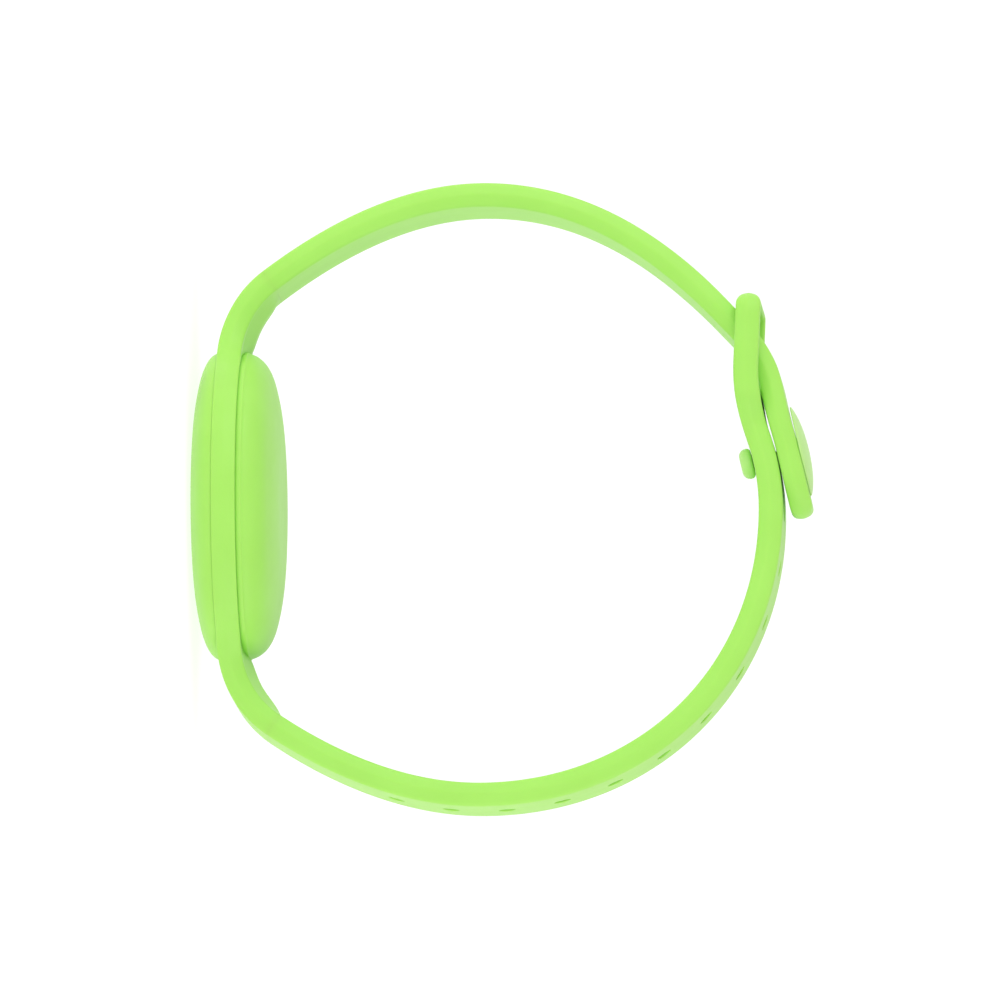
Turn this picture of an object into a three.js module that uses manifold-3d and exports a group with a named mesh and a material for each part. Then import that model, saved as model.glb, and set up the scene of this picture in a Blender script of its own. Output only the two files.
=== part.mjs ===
// A moulded silicone wristband: a round pod that holds a coin-sized tracker, two straps,
// and a stud-and-loop clasp. Millimetres, +Z up. The band stands on the pod's flat front
// face: Z runs from that face towards the wrist and the clasp, X runs along the band from
// the stud strap (-X) to the strap with the holes (+X), and Y runs across its width.

import * as THREE from 'three';
import { mergeVertices } from 'three/addons/utils/BufferGeometryUtils.js';
import Module from 'manifold-3d';

const wasm = await Module();
wasm.setup();

// ---------------------------------------------------------------- driving dimensions

// Clearances
const seatGap = 0.1; // between pieces that stack on each other
const cutGap = 0.3; // between pieces that are cut to each other, and round moving pieces
const slotGap = 0.6; // each side of the strap in the loop's slot

// Straps
const strapWidth = 12;
const strapThickness = 2.9;
const edgeRound = 0.4; // rounding of a strap's long edges

// Hoop, along the strap's centreline
const lugInset = 1.25; // how far inside the pod's edge the ring starts to bend up
const lugBendRadius = 11.8;
const studLugTurn = 53; // degrees that the ring's lug bends up, on the stud side
const holeLugTurn = 56; // and on the side with the holes
const studCrownX = 37; // widest point of the stud strap
const studCrownZ = 35;
const holeCrownX = 35.7; // widest point of the strap with the holes
const holeCrownZ = 34.6;
const apexX = 1.2; // highest point of the strap with the holes
const apexZ = 69.6;

// How far the handles of each smooth curve reach, as shares of its chord: leaving, arriving
const holeLugEase = [0.37, 0.31];
const holeCrownEase = [0.415, 0.4];
const studLugEase = [0.4, 0.3];
const studCrownEase = [0.35, 0.37];
const tailEase = [0.25, 0.36];
const plainEase = [0.36, 0.36];

// Loop at the end of the strap with the holes
const shoulderBendRadius = 26;
const shoulderBendTurn = 19;
const shoulderRun = 0.8;
const loopBendRadius = 22.5;
const loopBendTurn = 21.5;
const loopStraight = 8.5;
const loopThickness = 3;
const loopRail = 1.6; // width of each side rail
const loopBar = 1.5; // end bar, along the strap
const slotPlay = 5.925; // slot length beyond what the slanted strap takes up
const slotSlant = 1.5; // how much slot a slanted strap takes up, in strap thicknesses

// Tail with the stud
const tailThickness = 2.7;
const studToSlot = 15.55; // along the strap, from the buttoned hole to where the strap comes up
const studToHinge = 10.2;
const studToTip = 8;
const tailBow = 0.3; // how far the tail's root lies below its straight end
const tailSplay = -1.2; // degrees that the tail leans out from the strap under it, at the stud
const rootLift = 7; // degrees that the tail's root is steeper than its bow alone makes it
const entryBack = 6.55; // where the stud strap enters the loop, from the tail's root
const entryDown = 4.95;
const entrySlope = 43;
const taperLead = 6; // how far before the loop the stud strap starts to thin

// Stud and holes
const holeRadius = 1;
const holePitch = 6.5;
const holeCount = 12;
const neckRadius = 0.7;
const headRadius = 1.85;
const headHeight = 1.5;
const headBevel = 0.45; // at the head's shoulders
const headTipRadius = 1.1; // flat end of the head
const capRadius = 5.5;
const capHeight = 1.1;
const capRim = 0.22; // height of the cap's upright edge

// Tracker
const trackerRadius = 15.95;
const trackerHeight = 8;
const trackerFrontEdge = 1.8; // rounding of its rim at the front
const trackerBackEdge = 2.4; // and at the battery door
const trackerSplit = 3.9; // height of its front cap
const trackerWall = 0.9;
const doorRadius = 12.8;
const doorThickness = 0.55;
const doorTabs = 3;
const doorTabReach = 0.8; // how far a locking tab reaches past the door's edge
const doorTabRoot = 1.2; // and how far it lies under the door
const doorTabHeight = 0.5;
const doorTabWidth = 3;
const cellRadius = 10;
const cellHeight = 3.2;
const boardThickness = 0.6;
const boardInset = 1.75; // from the tracker's edge to the board's
const frameWidth = 2.2; // of the antenna frame that carries the board
const magnetRadius = 4.5;
const magnetHeight = 2;
const coilWall = 0.6;
const coilHeight = 1.4;
const sealWidth = 0.7;
const contactThickness = 0.15;
const contactHeight = 0.4;
const contactLength = 3;
const contactWidth = 1.2;
const contactRing = 7.6; // radius that the contacts stand on
const contactCount = 3;

// Pod
const frontHeight = 3.05; // front face to the ring
const wallThickness = 1.2; // over the tracker, front and back
const podWall = 2.6; // beside the tracker
const ringLip = 0.35; // how far the ring stands out past the pod's two halves
const frontFaceRadius = 8; // flat middle of the front face
const frontShoulderInset = 3.15; // from the pod's edge to the front face's shoulder
const frontShoulderDrop = 0.85;
const wristFaceRadius = 7;
const wristShoulderInset = 3.55;
const wristShoulderDrop = 1;
const spigotDepth = 1.35; // how far the cover plugs into the ring
const spigotWall = 0.8;
const lugFillet = 9; // where the ring flares into a strap, in plan
const crownEase = 0.45; // how much of a face's crown its end curve takes
const cornerInset = 0.06; // how far the rim's corner stands in, as a share of the shoulder

// Facets
const roundSteps = 40;
const smallSteps = 24;
const strapStep = 2.6;
const crownSteps = 3;
const shoulderSteps = 5;
const planSteps = 10;
const quarterTurn = [0, 22.5, 45, 67.5, 90];
const weldDistance = 1e-4;

// ---------------------------------------------------------------- worked-out dimensions

const cavityRadius = trackerRadius + cutGap / 2;
const cavityHeight = trackerHeight + 2 * seatGap;
const podHeight = cavityHeight + 2 * wallThickness;
const podRadius = trackerRadius + podWall;
const ringRadius = podRadius + ringLip;
const frontShoulderRadius = podRadius - frontShoulderInset;
const wristShoulderRadius = podRadius - wristShoulderInset;
const lugRun = podRadius - lugInset; // from the pod's axis to where the ring starts to bend up
const ringMidZ = frontHeight + strapThickness / 2;
const ringTopZ = frontHeight + strapThickness;
const spigotOuter = cavityRadius + spigotWall;
const trackerZ = wallThickness + seatGap;
const trackerTopZ = trackerZ + trackerHeight;
const slotWidth = strapWidth + 2 * slotGap;
const loopWidth = slotWidth + 2 * loopRail;
const slotTaken = slotSlant * strapThickness;
const slotLength = slotPlay + slotTaken;
const studToLoopEnd = studToSlot + slotTaken; // from the buttoned hole to the loop's tip

// ---------------------------------------------------------------- materials

const finish = (color, roughness, metalness = 0) =>
  new THREE.MeshStandardMaterial({ color, roughness, metalness });

const silicone = finish(0xa6f268, 0.55);
const paleSilicone = finish(0xb6f583, 0.5);
const whitePlastic = finish(0xf2f2ef, 0.25);
const blackPlastic = finish(0x26282b, 0.5);
const steel = finish(0xc9cbcd, 0.25, 1);
const nickel = finish(0xd6d4ca, 0.3, 1);
const boardGreen = finish(0x1e4d2f, 0.6);
const copper = finish(0xb8693a, 0.35, 1);
const sealRubber = finish(0x3a3c3f, 0.8);

// ---------------------------------------------------------------- solids and booleans

const object = new THREE.Group();

function addMesh(name, geometry, material, parent = object) {
  const mesh = new THREE.Mesh(geometry, material);
  mesh.name = name;
  parent.add(mesh);
  return mesh;
}

function toSolid(geometry) {
  const bare = geometry.clone();
  bare.deleteAttribute('normal');
  bare.deleteAttribute('uv');
  const merged = mergeVertices(bare, weldDistance);
  const corners = merged.index.array;
  const triangles = [];
  for (let i = 0; i < corners.length; i += 3) {
    const [a, b, c] = corners.slice(i, i + 3);
    if (a !== b && b !== c && c !== a) {
      triangles.push(a, b, c);
    }
  }
  return new wasm.Manifold(
    new wasm.Mesh({
      numProp: 3,
      vertProperties: new Float32Array(merged.attributes.position.array),
      triVerts: new Uint32Array(triangles),
    }),
  );
}

function toGeometry(solid) {
  const mesh = solid.getMesh();
  const geometry = new THREE.BufferGeometry();
  geometry.setAttribute('position', new THREE.BufferAttribute(mesh.vertProperties, 3));
  geometry.setIndex(new THREE.BufferAttribute(mesh.triVerts, 1));
  geometry.computeVertexNormals();
  return geometry;
}

// A turned piece about Z. The profile is [radius, height] pairs.
function turned(profile, steps = roundSteps) {
  const points = profile.map(([r, z]) => new THREE.Vector2(r, z));
  return new THREE.LatheGeometry(points, steps).rotateX(Math.PI / 2);
}

// A turned ring: its profile closes on itself.
function turnedRing(profile, steps = roundSteps) {
  return turned([...profile, profile[0]], steps);
}

// A flat-bottomed ring or washer.
function washer(inner, outer, low, high, steps = roundSteps) {
  return turnedRing([[inner, low], [outer, low], [outer, high], [inner, high]], steps);
}

// An upright cylinder, for a disc or a cut.
function disc(radius, low, high, steps = roundSteps) {
  return turned([[0, low], [radius, low], [radius, high], [0, high]], steps);
}

// Points along a curve, without its first, as [radius, height] pairs.
function sweepPoints(curve, steps) {
  return curve.getPoints(steps).slice(1).map((p) => [p.x, p.y]);
}

// ---------------------------------------------------------------- the hoop's centreline

const radians = THREE.MathUtils.degToRad;
const heading = (degrees) => new THREE.Vector2(Math.cos(radians(degrees)), Math.sin(radians(degrees)));
const leftOf = (direction) => new THREE.Vector2(-direction.y, direction.x);

// A centreline in the XZ plane, as a chain of curves from a start and a heading.
class Centreline extends THREE.CurvePath {
  constructor(start, degrees) {
    super();
    this.tip = start;
    this.degrees = degrees;
  }

  line(length) {
    const end = this.tip.clone().addScaledVector(heading(this.degrees), length);
    this.add(new THREE.LineCurve(this.tip, end));
    this.tip = end;
    return this;
  }

  // A round bend, to the left for a positive turn and to the right for a negative one.
  bend(radius, turn) {
    const side = Math.sign(turn);
    const centre = this.tip.clone().addScaledVector(leftOf(heading(this.degrees)), side * radius);
    const from = radians(this.degrees - side * 90);
    const to = from + radians(turn);
    this.add(new THREE.EllipseCurve(centre.x, centre.y, radius, radius, from, to, turn < 0));
    this.degrees += turn;
    this.tip = centre.clone().add(new THREE.Vector2(Math.cos(to), Math.sin(to)).multiplyScalar(radius));
    return this;
  }

  // A smooth curve to a point that it reaches at the given heading.
  easeTo(end, degrees, [leave, arrive] = plainEase) {
    const span = this.tip.distanceTo(end);
    const first = this.tip.clone().addScaledVector(heading(this.degrees), leave * span);
    const second = end.clone().addScaledVector(heading(degrees), -arrive * span);
    this.add(new THREE.CubicBezierCurve(this.tip, first, second, end));
    this.tip = end;
    this.degrees = degrees;
    return this;
  }

  at(distance) {
    const along = distance / this.getLength();
    const direction = this.getTangent(along).normalize();
    return { point: this.getPoint(along), direction, left: leftOf(direction) };
  }
}

// The strap with the holes, from inside the ring to the loop's tip.
const ringStart = cavityRadius - podWall * 2;
const holeLine = new Centreline(new THREE.Vector2(ringStart, ringMidZ), 0)
  .line(lugRun - ringStart)
  .bend(lugBendRadius, holeLugTurn);
const holeLugEnd = holeLine.getLength();
holeLine
  .easeTo(new THREE.Vector2(holeCrownX, holeCrownZ), 90, holeLugEase)
  .easeTo(new THREE.Vector2(apexX, apexZ), 180, holeCrownEase)
  .bend(shoulderBendRadius, shoulderBendTurn)
  .line(shoulderRun)
  .bend(loopBendRadius, -loopBendTurn)
  .line(loopStraight);
const loopTip = holeLine.getLength();
const slotEnd = loopTip - loopBar;
const slotStart = slotEnd - slotLength;
const loopStart = slotStart - loopBar;
const studStation = loopTip - studToLoopEnd;

// The tail lies on the strap with the holes, resting on it at the stud.
const studSeat = holeLine.at(studStation);
const layerPitch = strapThickness / 2 + seatGap + tailThickness / 2;
const outward = studSeat.left.clone().negate();
const studPoint = studSeat.point.clone().addScaledVector(outward, layerPitch);
const tailDegrees = THREE.MathUtils.radToDeg(studSeat.direction.angle()) - 180 + tailSplay;
const tailDirection = heading(tailDegrees);
const tailOut = leftOf(tailDirection);
const hingePoint = studPoint
  .clone()
  .addScaledVector(tailDirection, -studToHinge)
  .addScaledVector(tailOut, -tailBow);
const bowDegrees = THREE.MathUtils.radToDeg(Math.atan(tailBow / studToHinge));
const rootSlope = tailDegrees + 2 * bowDegrees + rootLift;

const tailLine = new Centreline(hingePoint, rootSlope)
  .easeTo(studPoint, tailDegrees, tailEase)
  .line(studToTip);

// The stud strap, from inside the ring, through the loop and up to the tail's root.
const entryPoint = hingePoint.clone().add(new THREE.Vector2(-entryBack, -entryDown));
const studLine = new Centreline(new THREE.Vector2(-ringStart, ringMidZ), 180)
  .line(lugRun - ringStart)
  .bend(lugBendRadius, -studLugTurn);
const studLugEnd = studLine.getLength();
studLine
  .easeTo(new THREE.Vector2(-studCrownX, studCrownZ), 90, studLugEase)
  .easeTo(entryPoint, entrySlope, studCrownEase);
const studEntry = studLine.getLength();
studLine.easeTo(hingePoint, rootSlope);
const studStrapEnd = studLine.getLength() - tailThickness / 2 - cutGap;

// ---------------------------------------------------------------- strap solids

const even = (thickness) => () => thickness;
const unitAt = (angle) => new THREE.Vector2(Math.cos(angle), Math.sin(angle));

// Three points that round off an end of a strap, seen from the side.
function roundEnd({ point, direction }, half, sense) {
  const ahead = direction.angle() + (sense < 0 ? Math.PI : 0);
  return [-45, 0, 45].map((turn) => point.clone().addScaledVector(unitAt(ahead + radians(turn)), half));
}

// The side outline of a strap between two distances along its line. Its thickness is a
// function of the distance, and either end can be round.
function sideOutline(line, from, to, thickness, rounds = {}) {
  const first = rounds.start ? from + thickness(from) / 2 : from;
  const last = rounds.end ? to - thickness(to) / 2 : to;
  const count = Math.max(2, Math.round((last - first) / strapStep));
  const stations = Array.from({ length: count + 1 }, (_, i) => first + ((last - first) * i) / count);
  const edge = (side) =>
    stations.map((s) => {
      const { point, left } = line.at(s);
      return point.clone().addScaledVector(left, (side * thickness(s)) / 2);
    });
  return new THREE.Shape([
    ...edge(-1),
    ...(rounds.end ? roundEnd(line.at(last), thickness(last) / 2, 1) : []),
    ...edge(1).reverse(),
    ...(rounds.start ? roundEnd(line.at(first), thickness(first) / 2, -1) : []),
  ]);
}

// A side outline in XZ, given its width along Y and rounded long edges.
function acrossY(shape, width, round = edgeRound) {
  const geometry = new THREE.ExtrudeGeometry(shape, {
    depth: width - 2 * round,
    bevelEnabled: round > 0,
    bevelThickness: round,
    bevelSize: round,
    bevelOffset: -round,
    bevelSegments: 1,
    steps: 1,
  });
  return geometry.rotateX(Math.PI / 2).translate(0, width / 2 - round, 0);
}

// A plan outline in XY, made tall enough to cut whatever it covers.
function planCutter(shape, low, high) {
  return new THREE.ExtrudeGeometry(shape, {
    depth: high - low,
    bevelEnabled: false,
    curveSegments: planSteps,
  }).translate(0, 0, low);
}

// A round cutter through a strap at a station on its line.
function holeCutter({ point, direction }, thickness) {
  return new THREE.CylinderGeometry(holeRadius, holeRadius, 3 * thickness, smallSteps)
    .rotateX(Math.PI / 2)
    .rotateY(-direction.angle())
    .translate(point.x, 0, point.y);
}

// ---------------------------------------------------------------- pod

// Half the outline of a domed half: flat face, gentle crown, tight shoulder. Heights are drops.
function domeDrops(faceRadius, shoulderRadius, shoulderDrop, rimDrop) {
  const run = (shoulderRadius - faceRadius) * crownEase;
  const slope = shoulderDrop / run;
  const cornerRadius = podRadius - (podRadius - shoulderRadius) * cornerInset;
  const crown = new THREE.QuadraticBezierCurve(
    new THREE.Vector2(faceRadius, 0),
    new THREE.Vector2(shoulderRadius - run, 0),
    new THREE.Vector2(shoulderRadius, shoulderDrop),
  );
  const round = new THREE.QuadraticBezierCurve(
    crown.v2,
    new THREE.Vector2(cornerRadius, shoulderDrop + slope * (cornerRadius - shoulderRadius)),
    new THREE.Vector2(podRadius, rimDrop),
  );
  return [[0, 0], [faceRadius, 0], ...sweepPoints(crown, crownSteps), ...sweepPoints(round, shoulderSteps)];
}

// A quarter-round rim from a flat face to an upright side. `sense` is 1 where the side
// rises from the face and -1 where it falls.
function rimPoints(radius, faceZ, edge, sense) {
  return quarterTurn.map((degrees) => {
    const angle = radians(degrees);
    return [radius - edge + edge * Math.sin(angle), faceZ + sense * edge * (1 - Math.cos(angle))];
  });
}

function podFrontShell() {
  const topZ = frontHeight - seatGap;
  return turned([
    ...domeDrops(frontFaceRadius, frontShoulderRadius, frontShoulderDrop, topZ),
    [cavityRadius, topZ],
    ...rimPoints(cavityRadius, wallThickness, trackerFrontEdge, 1).reverse(),
    [0, wallThickness],
  ]);
}

function podBackCover() {
  const underZ = ringTopZ + cutGap;
  const roofZ = podHeight - wallThickness;
  const spigotZ = ringTopZ - spigotDepth;
  const drops = domeDrops(wristFaceRadius, wristShoulderRadius, wristShoulderDrop, podHeight - underZ);
  return turned([
    [0, roofZ],
    ...rimPoints(cavityRadius, roofZ, trackerBackEdge, -1),
    [cavityRadius, spigotZ],
    [spigotOuter, spigotZ],
    [spigotOuter, underZ],
    ...drops.reverse().map(([r, drop]) => [r, podHeight - drop]),
  ]);
}

// Plan of the ring's flare into one strap, on the +X side.
function flareOutline(reach) {
  const half = strapWidth / 2;
  const centreX = Math.sqrt((ringRadius + lugFillet) ** 2 - (half + lugFillet) ** 2);
  const centreY = half + lugFillet;
  const touch = Math.atan2(-centreY, -centreX);
  const baseY = (ringRadius * centreY) / (ringRadius + lugFillet);
  const shape = new THREE.Shape();
  shape.moveTo(0, baseY);
  shape.lineTo(0, -baseY);
  shape.absarc(centreX, -centreY, lugFillet, -touch, Math.PI / 2, true);
  shape.lineTo(reach, -half);
  shape.lineTo(reach, half);
  shape.absarc(centreX, centreY, lugFillet, -Math.PI / 2, touch, true);
  return shape;
}

function ringLug(line, lugEnd, turn) {
  const reach = lugRun + 2 * lugBendRadius;
  const bar = acrossY(sideOutline(line, 0, lugEnd, even(strapThickness)), 2 * ringRadius, 0);
  const plan = planCutter(flareOutline(reach), -strapThickness, reach).rotateZ(turn);
  return toSolid(bar).intersect(toSolid(plan));
}

function podRing() {
  const flange = turned([
    [0, frontHeight],
    [ringRadius - edgeRound, frontHeight],
    [ringRadius, frontHeight + edgeRound],
    [ringRadius, ringTopZ - edgeRound],
    [ringRadius - edgeRound, ringTopZ],
    [0, ringTopZ],
  ]);
  const bore = disc(cavityRadius, -podHeight, podHeight);
  const rebate = disc(spigotOuter + cutGap, ringTopZ - spigotDepth - seatGap, podHeight);
  const solid = toSolid(flange)
    .add(ringLug(holeLine, holeLugEnd, 0))
    .add(ringLug(studLine, studLugEnd, Math.PI))
    .subtract(toSolid(bore))
    .subtract(toSolid(rebate));
  return toGeometry(solid);
}

// ---------------------------------------------------------------- straps and clasp

// The stud strap thins to the tail's thickness as it passes through the loop.
function studThickness(distance) {
  const start = studEntry - taperLead;
  const share = THREE.MathUtils.clamp((distance - start) / (studStrapEnd - start), 0, 1);
  return THREE.MathUtils.lerp(strapThickness, tailThickness, share);
}

function studStrap() {
  return acrossY(sideOutline(studLine, studLugEnd + cutGap, studStrapEnd, studThickness), strapWidth);
}

function holeStrap() {
  const side = sideOutline(holeLine, holeLugEnd + cutGap, loopStart - cutGap, even(strapThickness));
  let solid = toSolid(acrossY(side, strapWidth));
  for (let i = 0; i < holeCount; i += 1) {
    const station = holeLine.at(studStation - i * holePitch);
    solid = solid.subtract(toSolid(holeCutter(station, strapThickness)));
  }
  return toGeometry(solid);
}

// The loop: a plate that widens to two rails and an end bar round a slot.
function claspLoop() {
  const rootX = holeLine.at(loopStart).point.x;
  const nearX = holeLine.at(slotStart).point.x;
  const farX = holeLine.at(slotEnd).point.x;
  const tipX = holeLine.at(loopTip).point.x;
  const corner = loopRail + loopBar;
  const half = loopWidth / 2;
  const plan = new THREE.Shape();
  plan.moveTo(rootX + loopBar, -strapWidth / 2);
  plan.lineTo(rootX + loopBar, strapWidth / 2);
  plan.lineTo(rootX, strapWidth / 2);
  plan.quadraticCurveTo((rootX + nearX) / 2, half, nearX, half);
  plan.lineTo(tipX + corner, half);
  plan.quadraticCurveTo(tipX, half, tipX, half - corner);
  plan.lineTo(tipX, corner - half);
  plan.quadraticCurveTo(tipX, -half, tipX + corner, -half);
  plan.lineTo(nearX, -half);
  plan.quadraticCurveTo((rootX + nearX) / 2, -half, rootX, -strapWidth / 2);
  const slot = new THREE.Shape();
  slot.moveTo(farX, -slotWidth / 2);
  slot.lineTo(nearX, -slotWidth / 2);
  slot.lineTo(nearX, slotWidth / 2);
  slot.lineTo(farX, slotWidth / 2);
  const low = apexZ - 2 * podHeight;
  const high = apexZ + podHeight;
  const side = sideOutline(holeLine, loopStart, loopTip, even(loopThickness), { end: true });
  return toGeometry(
    toSolid(acrossY(side, loopWidth))
      .intersect(toSolid(planCutter(plan, low, high)))
      .subtract(toSolid(planCutter(slot, low, high))),
  );
}

// The tail: a tongue with a half-round tip, and a knuckle where it bends.
function strapTail() {
  const length = tailLine.getLength();
  const half = strapWidth / 2;
  const rootX = hingePoint.x - strapThickness;
  const tipX = tailLine.at(length).point.x;
  const tongue = new THREE.Shape();
  tongue.moveTo(rootX, -half);
  tongue.lineTo(tipX - half, -half);
  tongue.absarc(tipX - half, 0, half, -Math.PI / 2, Math.PI / 2, false);
  tongue.lineTo(rootX, half);
  const rounds = { start: true, end: true };
  const side = sideOutline(tailLine, -tailThickness / 2, length, even(tailThickness), rounds);
  return toGeometry(
    toSolid(acrossY(side, strapWidth))
      .intersect(toSolid(planCutter(tongue, 0, apexZ + podHeight)))
      .subtract(toSolid(holeCutter(tailLine.at(length - studToTip), tailThickness))),
  );
}

// The stud's pieces stand on its own axis, with Z outward and 0 in the middle of the tail.
const studAxis = new THREE.Group();
studAxis.position.set(studPoint.x, 0, studPoint.y);
studAxis.rotation.y = -radians(tailDegrees);
object.add(studAxis);

function studPin() {
  const headTop = -(layerPitch + strapThickness / 2 + cutGap);
  const headLow = headTop - headHeight;
  return turned(
    [
      [0, headLow],
      [headTipRadius, headLow],
      [headRadius, headLow + headBevel],
      [headRadius, headTop - headBevel],
      [headRadius - headBevel, headTop],
      [neckRadius, headTop],
      [neckRadius, tailThickness / 2],
      [0, tailThickness / 2],
    ],
    smallSteps,
  );
}

function studCap() {
  const baseZ = tailThickness / 2 + seatGap;
  const dome = quarterTurn.toReversed().map((degrees) => {
    const angle = radians(degrees);
    return [capRadius * Math.sin(angle), baseZ + capRim + (capHeight - capRim) * Math.cos(angle)];
  });
  return turned([[0, baseZ], [capRadius, baseZ], ...dome]);
}

// ---------------------------------------------------------------- tracker

const capInnerZ = trackerZ + trackerWall;
const boardRadius = trackerRadius - boardInset;
const boardZ = capInnerZ + seatGap + magnetHeight + seatGap;
const boardTopZ = boardZ + boardThickness;
const baseZ = trackerZ + trackerSplit + seatGap;
const cellZ = boardTopZ + contactHeight + seatGap / 2;
const doorZ = trackerTopZ - doorThickness;
const shelfZ = doorZ - doorTabHeight - seatGap;

function trackerCap() {
  const innerRadius = trackerRadius - trackerWall;
  return turned([
    [0, trackerZ],
    ...rimPoints(trackerRadius, trackerZ, trackerFrontEdge, 1),
    [trackerRadius, trackerZ + trackerSplit],
    [innerRadius, trackerZ + trackerSplit],
    [innerRadius, trackerZ + trackerFrontEdge],
    [trackerRadius - trackerFrontEdge, capInnerZ],
    [0, capInnerZ],
  ]);
}

function trackerBase() {
  const bore = cellRadius + cutGap;
  const lip = doorRadius + seatGap;
  const groove = doorRadius + doorTabReach + cutGap;
  return turnedRing([
    [bore, baseZ],
    [trackerRadius, baseZ],
    ...rimPoints(trackerRadius, trackerTopZ, trackerBackEdge, -1).reverse(),
    [lip, trackerTopZ],
    [lip, doorZ + seatGap],
    [groove, doorZ + seatGap],
    [groove, shelfZ],
    [bore, shelfZ],
  ]);
}

// The battery door, with the tabs that lock it under the base's lip.
function batteryDoor() {
  let solid = toSolid(disc(doorRadius, doorZ, trackerTopZ));
  const length = doorTabRoot + doorTabReach;
  const height = doorTabHeight + seatGap / 2;
  for (let i = 0; i < doorTabs; i += 1) {
    const tab = new THREE.BoxGeometry(length, doorTabWidth, height)
      .translate(doorRadius + doorTabReach - length / 2, 0, doorZ + (seatGap - height) / 2)
      .rotateZ((i * 2 * Math.PI) / doorTabs);
    solid = solid.add(toSolid(tab));
  }
  return toGeometry(solid);
}

// A sprung contact: a leaf that lies on the board and bows up to the cell.
function batteryContact(index) {
  const low = boardTopZ + seatGap / 2;
  const high = cellZ - seatGap / 2;
  const half = contactLength / 2;
  const leaf = new THREE.Shape([
    new THREE.Vector2(-half, low),
    new THREE.Vector2(-half / 2, low),
    new THREE.Vector2(0, high - contactThickness),
    new THREE.Vector2(half / 2, low),
    new THREE.Vector2(half, low),
    new THREE.Vector2(half, low + contactThickness),
    new THREE.Vector2(half / 2, low + contactThickness),
    new THREE.Vector2(half / 8, high),
    new THREE.Vector2(-half / 8, high),
    new THREE.Vector2(-half / 2, low + contactThickness),
    new THREE.Vector2(-half, low + contactThickness),
  ]);
  return acrossY(leaf, contactWidth, 0)
    .translate(contactRing, 0, 0)
    .rotateZ((index * 2 * Math.PI) / contactCount);
}

function addTracker() {
  const coilInner = magnetRadius + cutGap;
  const coilOuter = coilInner + coilWall;
  const frameOuter = trackerRadius - trackerFrontEdge - seatGap;
  const partsZ = capInnerZ + seatGap;
  const sealInner = cellRadius + cutGap + seatGap;
  const sealOuter = sealInner + sealWidth;
  addMesh('tracker_cap', trackerCap(), whitePlastic);
  addMesh('speaker_magnet', disc(magnetRadius, partsZ, partsZ + magnetHeight, smallSteps), nickel);
  addMesh('voice_coil', washer(coilInner, coilOuter, partsZ, partsZ + coilHeight, smallSteps), copper);
  const antennaFrame = washer(frameOuter - frameWidth, frameOuter, partsZ, partsZ + magnetHeight);
  addMesh('antenna_frame', antennaFrame, blackPlastic);
  addMesh('circuit_board', washer(coilOuter, boardRadius, boardZ, boardTopZ), boardGreen);
  for (let i = 0; i < contactCount; i += 1) {
    addMesh(`battery_contact_${i + 1}`, batteryContact(i), nickel);
  }
  addMesh('coin_cell', disc(cellRadius, cellZ, cellZ + cellHeight), steel);
  addMesh('tracker_base', trackerBase(), blackPlastic);
  addMesh('door_seal', washer(sealInner, sealOuter, shelfZ + seatGap, doorZ - seatGap), sealRubber);
  addMesh('battery_door', batteryDoor(), steel);
}

// ---------------------------------------------------------------- the object

addMesh('pod_front_shell', podFrontShell(), silicone);
addMesh('pod_ring', podRing(), silicone);
addMesh('pod_back_cover', podBackCover(), silicone);
addMesh('stud_strap', studStrap(), silicone);
addMesh('hole_strap', holeStrap(), silicone);
addMesh('clasp_loop', claspLoop(), silicone);
addMesh('strap_tail', strapTail(), silicone);
addMesh('stud_pin', studPin(), silicone, studAxis);
addMesh('stud_cap', studCap(), paleSilicone, studAxis);
addTracker();

export default object;
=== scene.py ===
# A moulded silicone wristband with a round pod for a coin-sized tracker, a strap with a row
# of holes, and a stud-and-loop clasp. It stands on the pod's flat front face.
import math

import bmesh
import bpy
import numpy as np
from mathutils import Matrix, Vector


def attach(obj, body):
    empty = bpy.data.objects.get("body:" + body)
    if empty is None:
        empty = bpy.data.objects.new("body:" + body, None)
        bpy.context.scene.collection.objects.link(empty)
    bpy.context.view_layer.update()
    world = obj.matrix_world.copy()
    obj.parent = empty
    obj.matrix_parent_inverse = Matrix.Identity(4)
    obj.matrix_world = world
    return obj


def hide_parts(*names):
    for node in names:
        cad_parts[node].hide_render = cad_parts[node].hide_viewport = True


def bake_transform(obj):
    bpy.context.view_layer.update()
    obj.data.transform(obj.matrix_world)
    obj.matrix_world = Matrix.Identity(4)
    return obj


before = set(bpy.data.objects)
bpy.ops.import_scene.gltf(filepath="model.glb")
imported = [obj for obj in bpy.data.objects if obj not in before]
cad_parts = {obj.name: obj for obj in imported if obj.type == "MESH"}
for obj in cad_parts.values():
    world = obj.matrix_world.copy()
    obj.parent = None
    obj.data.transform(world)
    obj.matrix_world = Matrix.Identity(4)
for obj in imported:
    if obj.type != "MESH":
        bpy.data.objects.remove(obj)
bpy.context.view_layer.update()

# ------------------------------------------------------------------ sizes, in millimetres

MM = 0.001  # millimetres to metres

# Straps: a flat section with slightly bulging sides
STRAP_WIDTH = 12.0
STRAP_THICKNESS = 2.9
TAIL_THICKNESS = 2.7
SIDE_BULGE = 0.5  # how far a strap's side stands out past its edges
SIDE_POWER = 1.35  # 1 is a plain V from the parting line, 2 a round side
EDGE_ROUND = 0.34
EDGE_MOST = 0.5  # of the half thickness, where that is small
EDGE_KEEP = 0.02  # left of a section's half width where the bulge would use it up

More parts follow.
